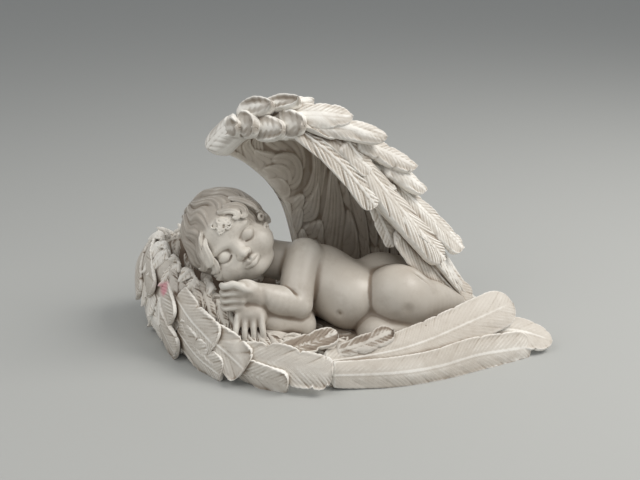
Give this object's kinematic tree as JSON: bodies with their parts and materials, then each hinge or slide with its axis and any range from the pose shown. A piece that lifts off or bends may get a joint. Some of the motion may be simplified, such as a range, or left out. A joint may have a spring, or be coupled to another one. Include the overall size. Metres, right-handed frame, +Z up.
{
  "type": "sleeping angel statuette",
  "caption": "Small cast statuette of a cherub asleep on its side in a nest made by one feathered wing, under a second wing that arches over it.",
  "frame": {"origin": "middle of the bounding box, on the flat underside", "axes": "+X along the cherub from its head to its feet, +Y away from the side that it faces, +Z up"},
  "size_m": [0.132, 0.0756, 0.0773],
  "materials": {
    "antique_white_resin": "matt cast resin, chalky white on raised edges and a thin grey-brown wash in the hollows"
  },
  "bodies": {
    "root": {"sleeping_angel": "antique_white_resin"}
  },
  "joints": []
}
